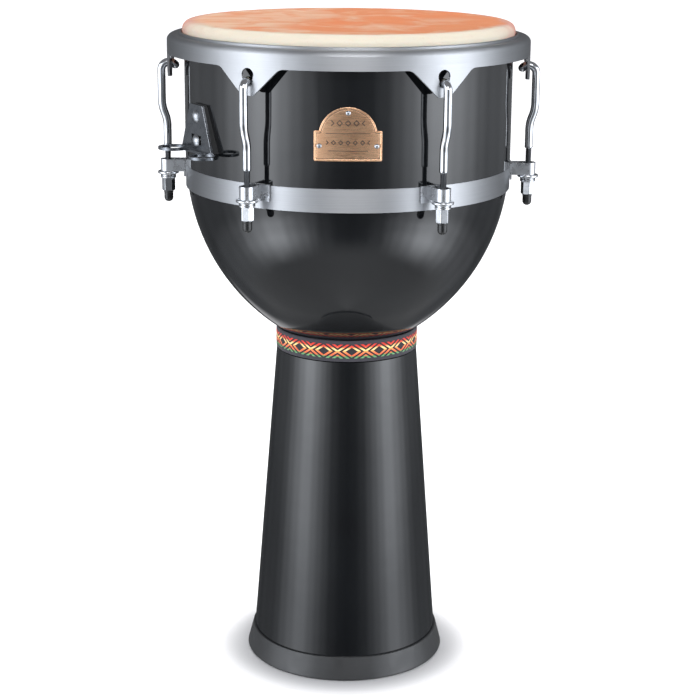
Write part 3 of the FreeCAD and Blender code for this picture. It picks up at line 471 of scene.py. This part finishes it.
def copper_badge():
    """Copper-coloured anodised aluminium, brushed across, with a printed dark border line, and two
    rows of plain lozenges and two rules in place of any lettering."""
    material, tree, place_of, shader = finish("copper_badge", Metallic=1.0)
    here = place_of.outputs["Object"]
    grain = noise(tree, stretched(tree, here, (0.03, 0.03, 1.0)), 0.35, 4, 0.7)
    cloud = noise(tree, here, 14, 3)
    tone = maths(tree, "ADD", maths(tree, "MULTIPLY", grain, 0.6), maths(tree, "MULTIPLY", cloud, 0.4))
    metal = blend(tree, spread(tree, tone, 0.3, 0.7, 0, 1), linear("#f4bc92"), linear("#fbcfa8"))
    depth, across, up = (add(tree, "Attribute", attribute_name=word).outputs["Fac"]
                         for word in ("from_edge", "sideways", "upwards"))
    ink = maths(tree, "LESS_THAN", maths(tree, "ABSOLUTE", maths(tree, "SUBTRACT", depth, BORDER_LINE)),
                0.22)
    for level, half_width, size, gap in ((569.5, 15.0, 3.4, 7.5), (552.0, 19.5, 2.6, 6.5)):
        column = maths(tree, "PINGPONG", maths(tree, "ADD", across, 60.0 * gap), gap / 2)
        lozenge = maths(tree, "ADD", column, maths(tree, "ABSOLUTE", maths(tree, "SUBTRACT", up, level)))
        ring = maths(tree, "LESS_THAN", maths(tree, "ABSOLUTE", maths(tree, "SUBTRACT", lozenge, size * 0.7)),
                     0.55)
        within = maths(tree, "LESS_THAN", maths(tree, "ABSOLUTE", across), half_width)
        ink = maths(tree, "MAXIMUM", ink, maths(tree, "MULTIPLY", ring, within))
    for level, half_width in ((560.2, 20.0), (544.6, 18.0)):
        near = maths(tree, "LESS_THAN", maths(tree, "ABSOLUTE", maths(tree, "SUBTRACT", up, level)), 0.25)
        within = maths(tree, "LESS_THAN", maths(tree, "ABSOLUTE", across), half_width)
        ink = maths(tree, "MAXIMUM", ink, maths(tree, "MULTIPLY", near, within))
    wire(tree, blend(tree, ink, metal, linear("#2a1d17")), shader, "Base Color")
    wire(tree, maths(tree, "SUBTRACT", 1.0, ink), shader, "Metallic")
    rough = add(tree, "Mix", {0: ink, 2: spread(tree, grain, 0.3, 0.7, 0.2, 0.36), 3: 0.5},
                data_type="FLOAT").outputs[0]
    wire(tree, rough, shader, "Roughness")
    wire(tree, bump(tree, grain, 0.005), shader, "Normal")
    return material


LACQUER = black_lacquer()
HOOP_STEEL = brushed_steel("brushed_hoop_steel", ("#a2a4a7", "#b2b4b7"), 0.5, 0.48)
ROD_CHROME = chrome("rod_chrome", "#d3d5d8", "#b9bcc0", 0.1, 3.0, THREAD_TOP)
LUG_CHROME = chrome("lug_chrome", "#d3d5d8", "#b3b6ba", 0.16, 1.6)
LUG_SATIN = chrome("lug_satin_plating", "#d3d5d8", "#b6b9bd", 0.3, 1.2)
PLATE_ZINC = chrome("bracket_zinc", "#7c7f84", "#5f6368", 0.24, 0.9)
BOLT_ZINC = chrome("bolt_zinc", "#a4a7ab", "#85888c", 0.3, 0.7)
FOOT_RUBBER = moulded_rubber("foot_rubber", "#0a0b0c", "#191b1d", 0.42)
CAP_RUBBER = moulded_rubber("cap_rubber", "#060607", "#121314", 0.24)
HIDE = goat_hide()
RIBBON = jacquard_ribbon()
BADGE_COPPER = copper_badge()


# ---- nodes that keep their shape -----------------------------------------------------------------

def coat(node, material):
    """Gives a node that keeps its shape its finish."""
    piece = NODES[node]
    piece.data.materials.clear()
    piece.data.materials.append(material)
    return piece


def soften(piece, width_mm, dissolve_degrees=1.0):
    """Breaks the sharp edges of a pressed or cut piece."""
    weld = piece.modifiers.new("joined", "WELD")
    weld.merge_threshold = 0.002 * MM
    flat = piece.modifiers.new("flat_faces", "DECIMATE")
    flat.decimate_type = "DISSOLVE"
    flat.angle_limit = math.radians(dissolve_degrees)
    edge = piece.modifiers.new("broken_edge", "BEVEL")
    edge.width = width_mm * MM
    edge.segments = 2
    edge.limit_method = "ANGLE"
    edge.angle_limit = math.radians(38)
    edge.miter_outer = "MITER_ARC"
    even_shading(piece)


for name in ("bowl", "foot_tube"):
    coat(name, LACQUER)
soften(coat("foot_ring", FOOT_RUBBER), 1.2)
coat("bracket_gasket", FOOT_RUBBER)
for name in ("side_band", "counterhoop"):
    soften(coat(name, HOOP_STEEL), 0.35)
soften(coat("strap_bracket", PLATE_ZINC), 0.5)
for name in ("bracket_bolts", "badge_pins"):
    coat(name, BOLT_ZINC)
for name in ("lug_bolts", "lug_bolt_nuts", "bracket_nuts", "flesh_hoop"):
    coat(name, PLATE_ZINC)
for index in LUGS:
    soften(coat(f"lug_strap_{index}", LUG_SATIN), 0.3)


# ---- head ----------------------------------------------------------------------------------------

def hide_head():
    """Hide drawn over the bearing edge and lapped round the flesh hoop.  Its section is a path of runs
    and arcs, thickened by half its sheet to each side.  Puckers, a sum of three waves round the drum, grow
    from nothing at the edge's crown to 0.45 mm at the flesh hoop."""
    sheet, flat, crown = 1.2, 152.75, 6.9
    tuck, tuck_turn, hoop_height = 4.2, math.radians(233), 626.4
    top = HEAD_TOP / MM - sheet / 2
    runs = [(flat, 0), (crown * math.pi / 2, -math.pi / 2), (top - crown - hoop_height, 0),
            (tuck * tuck_turn, tuck_turn)]
    places, ways = walk((0.0, top), 0.0, runs, 1.5)
    places, ways = places[1:], ways[1:]
    out = np.stack([-np.sin(ways), np.cos(ways)], -1) * sheet / 2
    outline = np.concatenate([places + out, (places - out)[::-1]])
    columns = 360
    grid = lathe(outline, columns)
    angle = np.arange(columns) * TURN / columns
    waves = (np.sin(47 * angle + 0.4) + 0.8 * np.sin(71 * angle + 2 * np.sin(3 * angle))
             + 0.5 * np.sin(19 * angle))
    drop = np.clip((HEAD_TOP - 0.003 - grid[..., 2]) / 0.012, 0, 1)
    pucker = 0.45 * MM / 2.3        # 2.3 is the most that the three waves add up to
    swell = 1 + pucker * waves * drop / np.maximum(np.hypot(grid[..., 0], grid[..., 1]), 0.1)
    grid[..., :2] *= swell[..., None]
    sag_reach, sag_depth = 0.14, 0.15 * MM
    reach = np.hypot(grid[..., 0], grid[..., 1])
    sag = np.clip(1 - reach / sag_reach, 0, 1) ** 0.5
    grid[..., 2] -= sag_depth * sag * (1 + np.sin(3 * np.arctan2(grid[..., 1], grid[..., 0])))
    return surface("goat_head", grid, fan_first=True, fan_last=True)


place(hide_head(), "head_assembly", HIDE, "hide", "head_skin")


# ---- ribbon --------------------------------------------------------------------------------------

def woven_ribbon():
    """Flat ribbon round the neck.  Its outer face is raised by the weave, a product of two sines, and by
    the float threads of the strokes, and its two selvedges are rounded.  Millimetres."""
    thick, edge_round, weave_depth, stroke_depth = 1.3, 0.5, 0.06, 0.14
    low, high = (corner.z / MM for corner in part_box("neck_ribbon"))
    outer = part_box("neck_ribbon")[1].x / MM
    columns, rows = 1440, 44
    level = np.linspace(-1, 1, rows)[:, None]
    share = np.arange(columns)[None] / columns
    repeat = share * RIBBON_REPEATS + RIBBON_START + 0.5
    rise = np.abs(repeat - np.round(repeat)) * STROKE_RISE
    steps = (np.abs(level) + rise - FIRST_STROKE) / STROKE_REPEAT
    stroke = (np.abs(steps - np.round(steps)) < STROKE_SHARE / 2) & (steps > -0.5)
    stroke = stroke & (np.abs(level) < PATTERN_HALF)
    weave = np.sin(TURN * 360 * share) * np.sin(TURN * 11 * level)
    selvedge = np.sqrt(np.clip(1 - ((np.abs(level) - 0.94) / 0.06).clip(0) ** 2, 0, 1))
    radius = outer - 0.6 + edge_round * selvedge + weave_depth * weave * selvedge + stroke_depth * stroke
    height = (low + high) / 2 + level * (high - low) / 2 + 0 * share
    back = np.full((2, columns), outer - thick)
    radius = np.concatenate([radius, back])
    height = np.concatenate([height, np.full((1, columns), high), np.full((1, columns), low)])
    angle = TURN * share
    grid = np.stack([radius * np.cos(angle), radius * np.sin(angle), height], -1) * MM
    v = np.concatenate([(level[:, 0] + 1) / 2, [1.0, 0.0]])
    ribbon = surface("woven_ribbon", grid, loop_rows=True, sharp=60)
    layer = ribbon.data.uv_layers[0].data
    values = np.zeros(len(layer) * 2, np.float32)
    layer.foreach_get("uv", values)
    values = values.reshape(-1, 2)
    row = np.round(values[:, 1] * (len(v) - 1)).astype(int) % len(v)
    values[:, 1] = v[row]
    layer.foreach_set("uv", values.ravel())
    return ribbon


place(woven_ribbon(), "drum_shell", RIBBON, "ribbon", "neck_ribbon")


# ---- rods, washers, nuts and caps ----------------------------------------------------------------

def swan_neck_rod(index):
    """Round bar carried along a path of runs and arcs.  Its lower end has a thread: a triangle wave of the
    height in pitches less the angle in turns.  Its hook ends in a half ball.  Millimetres."""
    low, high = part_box(f"tension_rod_{index}")
    base, line = low.z / MM, ROD_LINE / MM
    pitch, bar, crest, root = 1.0, 3.9, 3.0, 2.4
    plain, hook_turn, hook_tail = 18.5, math.radians(140), 4.0
    step_half, step = 13.0, 5.0
    radius = (step_half ** 2 + step ** 2 / 4) / step
    swing = math.asin(step_half / radius)
    hook = 7.7
    upright = high.z / MM - bar - hook - (base + THREAD_LENGTH + plain + 2 * step_half)
    moves = [(plain, 0), (radius * swing, -swing), (radius * swing, swing), (upright, 0),
             (hook * hook_turn, hook_turn), (hook_tail, 0)]
    places, ways = walk((line, base + THREAD_LENGTH), math.pi / 2, moves, 0.9)
    along = np.concatenate([[0], np.cumsum(np.linalg.norm(np.diff(places, axis=0), axis=1))])
    size = bar * np.sqrt(np.clip(1 - ((along - along[-1] + bar) / bar).clip(0) ** 2, 0.002, 1))
    size[:2] = crest, bar - 0.1
    columns = 28
    angle = np.arange(columns) * TURN / columns
    sideways = np.stack([-np.sin(ways), 0 * ways, np.cos(ways)], -1)[:, None]
    centre = np.stack([places[:, 0], 0 * ways, places[:, 1]], -1)[:, None]
    ring = np.cos(angle)[None, :, None] * sideways + np.sin(angle)[None, :, None] * np.array([0, 1, 0])
    upper = centre + ring * size[:, None, None]
    heights = base + np.arange(0, THREAD_LENGTH, pitch / 7)
    turns = heights[:, None] / pitch + angle / TURN
    relief = root + (crest - root) * (1 - np.abs(2 * (turns % 1) - 1))
    taper = np.clip((heights - base) / 1.2, 0, 1)[:, None]
    relief = relief * (0.75 + 0.25 * taper)
    thread = np.stack([line - relief * np.cos(angle), relief * np.sin(angle),
                       np.broadcast_to(heights[:, None], relief.shape)], -1)
    grid = about_axis(np.concatenate([thread, upper]) * MM, lug_angle(index))
    return surface(f"swan_neck_rod_{index}", grid, fan_first=True, fan_last=True)


def dished_washer(index):
    """Dish turned from a section with a rolled lip."""
    low, high = (corner.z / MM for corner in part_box(f"cup_washer_{index}"))
    corners = [(3.3, low, 0.2), (7.4, low, 0.5), (7.7, low + 2.0, 0.6), (10.3, low + 2.9, 0.9),
               (10.3, high, 1.1), (8.2, high, 0.2), (8.0, high - 0.6, 0.2), (5.4, high - 0.6, 0.2),
               (5.2, high, 0.2), (3.3, high, 0.2)]
    grid = lathe(rounded(corners), 72, ROD_LINE / MM)
    return even_shading(surface(f"dished_washer_{index}", about_axis(grid, lug_angle(index)), loop_rows=True))


NUT_STOPS = np.radians((-15, 15, -15, 22, -9, 4))     # each nut has stopped at its own angle


def hexagon_nut(index):
    """Long nut.  A hexagon with rounded corners is 1 / r = the 60th root of the sum of the 60th powers of
    cos(angle - flat) / apothem.  Cones of 30 degrees cut its corners, and a round flange tops it."""
    low, high = (corner.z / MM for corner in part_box(f"tuning_nut_{index}"))
    apothem, flange, bore, power = 5.72, 7.6, 3.06, 60
    columns = 144
    angle = np.arange(columns) * TURN / columns
    flats = angle[:, None] - np.arange(6) * TURN / 6 - TURN / 12 - NUT_STOPS[index - 1]
    hexagon = ((np.cos(flats).clip(0) / apothem) ** power).sum(1) ** (-1 / power)
    heights = np.concatenate([low + np.linspace(0, 0.9, 7), [low + 6, high - 2.6],
                              high - np.linspace(2.2, 1.6, 4)])
    cone = np.minimum(apothem - 0.15 + (heights - low) / math.tan(math.radians(30)),
                      apothem + 0.35 + 40 * (heights < high - 1.8))
    body = np.minimum(hexagon[None], cone[:, None])
    round_share = np.linspace(-0.5, 0.5, 7) * math.pi
    flange_radius = flange - 0.5 + 0.5 * np.cos(round_share)
    flange_height = np.where(round_share < 0, high - 1.6 + 0.5, high - 0.5) + 0.5 * np.sin(round_share)
    radius = np.concatenate([np.full((1, columns), bore + 0.3), body,
                             np.broadcast_to(flange_radius[:, None], (7, columns)),
                             np.full((2, columns), bore)])
    height = np.concatenate([[low], heights, flange_height, [high, low + 0.3]])
    x = ROD_LINE / MM + radius * np.cos(angle)
    y = radius * np.sin(angle)
    grid = np.stack([x, y, np.broadcast_to(height[:, None], x.shape)], -1) * MM
    nut = surface(f"hexagon_nut_{index}", about_axis(grid, lug_angle(index)), loop_rows=True, sharp=28)
    return even_shading(nut)


def rubber_cap(index):
    """Moulded cap with a bead at its mouth, a straight side and a round end."""
    low, high = (corner.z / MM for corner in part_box(f"rod_cap_{index}"))
    corners = [(3.4, high, 0.15), (4.75, high, 0.45), (4.75, high - 1.5, 0.4), (4.45, high - 2.1, 0.3),
               (4.5, low, 4.2), (0.0, low, 0), (0.0, low + 1.8, 0), (3.4, low + 1.8, 0.6)]
    grid = lathe(rounded(corners, 8), 56, ROD_LINE / MM)
    return even_shading(surface(f"rubber_cap_{index}", about_axis(grid, lug_angle(index)), loop_rows=True))


for index in LUGS:
    place(swan_neck_rod(index), "head_assembly", ROD_CHROME, "plated", f"tension_rod_{index}")
    place(dished_washer(index), "drum_shell", LUG_CHROME, "plated", f"cup_washer_{index}")
    place(hexagon_nut(index), f"nut_{index}", LUG_CHROME, "plated", f"tuning_nut_{index}")
    place(rubber_cap(index), f"nut_{index}", CAP_RUBBER, "foot_rubber", f"rod_cap_{index}")


# ---- badge ---------------------------------------------------------------------------------------

def arched_badge():
    """Arched plate bent to the shell.  Rows run from the outline to the middle, close together at the rim.
    The relief depends on the distance from the outline only: a raised rim with a round top, then a level
    field, with a groove for the border line."""
    low, high = BADGE_LOW.z / MM, BADGE_HIGH.z / MM
    half, arch_half, arch = 30.7, 26.0, 26.5
    shoulder = high - arch + math.sqrt(arch ** 2 - arch_half ** 2)
    sweep = math.asin(arch_half / arch)
    bends = np.linspace(sweep, -sweep, 90)
    crown = np.stack([arch * np.sin(bends), high - arch + arch * np.cos(bends)], -1)
    frame_corners = [(-half, low, 1.2), (half, low, 1.2), (half, shoulder, 1.0), (arch_half, shoulder, 0)]
    lower = rounded(frame_corners + [(-arch_half, shoulder, 0), (-half, shoulder, 1.0)], 6)
    split = int(np.argmax(np.all(np.isclose(lower, (arch_half, shoulder)), axis=1)))
    outline = np.concatenate([lower[:split], crown, lower[split + 2:]])
    closed = np.concatenate([outline, outline[:1]])
    length = np.concatenate([[0], np.cumsum(np.linalg.norm(np.diff(closed, axis=0), axis=1))])
    wanted = np.linspace(0, length[-1], 481)[:-1]
    rim = np.stack([np.interp(wanted, length, closed[:, axis]) for axis in (0, 1)], -1)
    middle = np.array([0.0, (low + high) / 2 - 2])
    share = np.concatenate([np.linspace(0, 0.16, 34), np.linspace(0.16, 0.98, 22)[1:]])
    flat = rim[None] + share[:, None, None] * (middle - rim)[None]
    gaps = np.linalg.norm(flat[:, :, None] - rim[None, None, ::2], axis=-1).min(-1)
    depth = np.where(share[:, None] == 0, 0, gaps)
    rise = 0.9 - 0.45 * (1 - np.clip(depth / 0.5, 0, 1)) ** 2
    field = np.clip((depth - 1.25) / 0.35, 0, 1)
    rise = rise - 0.35 * field * field * (3 - 2 * field) - 0.1 * np.exp(-((depth - BORDER_LINE) / 0.25) ** 2)
    angle = flat[..., 0] / BADGE_INNER + BADGE_MIDDLE
    back = np.full((1, flat.shape[1]), BADGE_INNER)
    radius = np.concatenate([back, BADGE_INNER + rise])
    angle = np.concatenate([angle[:1], angle])
    height = np.concatenate([flat[:1, :, 1], flat[..., 1]])
    grid = np.stack([radius * np.cos(angle), radius * np.sin(angle), height], -1) * MM
    plate = surface("arched_badge", grid, fan_first=True, fan_last=True, sharp=50)
    for word, values in (("from_edge", np.concatenate([depth[:1], depth])),
                         ("sideways", np.concatenate([flat[:1, :, 0], flat[..., 0]])),
                         ("upwards", height)):
        ends = [values[0].mean(), values[-1].mean()]
        stored = plate.data.attributes.new(word, "FLOAT", "POINT")
        stored.data.foreach_set("value", np.concatenate([values.ravel(), ends]).astype(np.float32))
    return plate


place(arched_badge(), "drum_shell", BADGE_COPPER, "badge", "badge")


# ---- studio --------------------------------------------------------------------------------------

def studio_floor():
    """Plain pale light table.  It glows evenly, except close round the foot, where the glow fades out: a
    painted shadow there, added to the drum's own soft shadow, which the missing glow lets show."""
    bpy.ops.mesh.primitive_plane_add(size=40)
    floor = bpy.context.object
    floor.name = "studio_floor"
    material, tree, place_of, shader = finish("pale_floor", Roughness=0.9)
    grain = noise(tree, place_of.outputs["Object"], 400, 2)
    wire(tree, blend(tree, grain, linear("#cbcbcd"), linear("#cfcfd0")), shader, "Base Color")
    distance, _ = from_axis(tree, place_of.outputs["Object"])
    # Painted shadow: the glow is nil close round the foot and full further out.
    painted_shadow_core, painted_shadow_reach, glow = 0.1, 0.15, 0.75
    shader.inputs["Emission Color"].default_value = (1, 1, 1, 1)
    wire(tree, spread(tree, distance, painted_shadow_core, painted_shadow_reach, 0.0, glow, smooth=True), shader,
         "Emission Strength")
    floor.data.materials.append(material)
    floor.visible_glossy = False


def levels(tree, share, stops):
    """Slightly blue brightness that eases through stops (share, level)."""
    colours = [(position, (level * 0.98, level, level * 1.03, 1)) for position, level in stops]
    return ramp(tree, share, colours, "EASE")


def studio_air():
    """Soft studio all round.  Bearing runs from 0 at the front to 1 at the back, on both sides alike: two
    tall panels a third of the way round, a dark gap between them, a narrow strip of light above the front,
    a dim ceiling, and a pale table that shows only from below."""
    world = bpy.data.worlds.new("studio")
    bpy.context.scene.world = world
    world.use_nodes = True
    tree = world.node_tree
    tree.nodes.clear()
    way = add(tree, "Mapping", {"Vector": add(tree, "TexCoord").outputs["Generated"],
                                "Rotation": (0, 0, math.radians(-4))}).outputs["Vector"]
    x, y, z = add(tree, "SeparateXYZ", {"Vector": way}).outputs
    front = maths(tree, "MULTIPLY", y, -1.0)
    bearing = maths(tree, "DIVIDE", maths(tree, "ARCTAN2", maths(tree, "ABSOLUTE", x), front), math.pi)
    panels = levels(tree, bearing, (
        (0.0, 0.16), (0.05, 0.22), (0.125, 0.55), (0.175, 1.25), (0.22, 2.1), (0.27, 3.3), (0.325, 4.9),
        (0.37, 5.0), (0.43, 3.6), (0.5, 2.2), (0.56, 1.1), (0.62, 0.65), (0.72, 0.4), (0.82, 0.2),
        (1.0, 0.12)))
    share = levels(tree, spread(tree, z, -1, 0, 0, 1), (
        (0.38, 1.0), (0.48, 0.85), (0.6, 0.5), (0.72, 0.5), (0.8, 0.78), (0.88, 1.1)))
    walls = add(tree, "VectorMath", {0: panels, 1: share}, operation="MULTIPLY").outputs[0]
    ceiling = blend(tree, spread(tree, z, 0.3, 0.5, 0, 1, smooth=True), walls, (0.25, 0.25, 0.26, 1))
    strip = maths(tree, "MULTIPLY", spread(tree, bearing, 0.13, 0.07, 0, 1, smooth=True),
                  maths(tree, "MULTIPLY", spread(tree, z, 0.3, 0.4, 0, 1, smooth=True),
                        spread(tree, z, 0.7, 0.58, 0, 1, smooth=True)))
    upper = blend(tree, strip, ceiling, (9.0, 9.0, 9.2, 1))
    table = levels(tree, bearing, ((0.0, 0.8), (0.5, 0.6), (0.74, 0.5), (0.86, 0.3)))
    lit_edge = maths(tree, "MULTIPLY", spread(tree, bearing, 0.87, 0.93, 0, 1, smooth=True),
                     spread(tree, z, -0.4, -0.47, 0, 1, smooth=True))
    below = blend(tree, spread(tree, z, -0.6, -0.8, 0, 1, smooth=True), upper, table)
    around = blend(tree, lit_edge, below, (0.8, 0.8, 0.82, 1))
    seen = add(tree, "LightPath").outputs["Is Camera Ray"]
    shown = blend(tree, seen, around, (1.05, 1.05, 1.05, 1))
    air = add(tree, "Background", {"Color": shown, "Strength": 1.0})
    add(tree, "OutputWorld", {"Surface": air.outputs[0]})


def soft_light(name, size, where, energy):
    """Square soft light that looks at the drum."""
    data = bpy.data.lights.new(name, "AREA")
    data.size, data.energy = size, energy
    light = bpy.data.objects.new(name, data)
    bpy.context.scene.collection.objects.link(light)
    light.location = where
    away = Vector(where) - cad_box[0].lerp(cad_box[1], 0.6)
    light.rotation_euler = away.to_track_quat("Z", "Y").to_euler()
    light.visible_glossy = False


def camera():
    """Long lens a little above the head, looking 15 degrees down, moved 0.9 degrees round to the right."""
    distance, height, down = 1.770, 0.796, math.radians(15.126)
    aside, swing, tilt = math.radians(0.9), -0.002, 0.008
    data = bpy.data.cameras.new("camera")
    data.lens, data.sensor_width = 93.29, 36.0
    view = bpy.data.objects.new("camera", data)
    bpy.context.scene.collection.objects.link(view)
    turned = Matrix.Rotation(aside + swing, 4, "Z") @ Matrix.Rotation(math.pi / 2 - down, 4, "X")
    turned = turned @ Matrix.Rotation(tilt, 4, "Z")
    turned.translation = Matrix.Rotation(aside, 3, "Z") @ Vector((0, -distance, height))
    view.matrix_world = turned
    bpy.context.scene.camera = view


bpy.context.scene.view_settings.view_transform = "Standard"
studio_floor()
studio_air()
soft_light("overhead_light", 3.0, (0.0, 0.9, 2.4), 60)
camera()
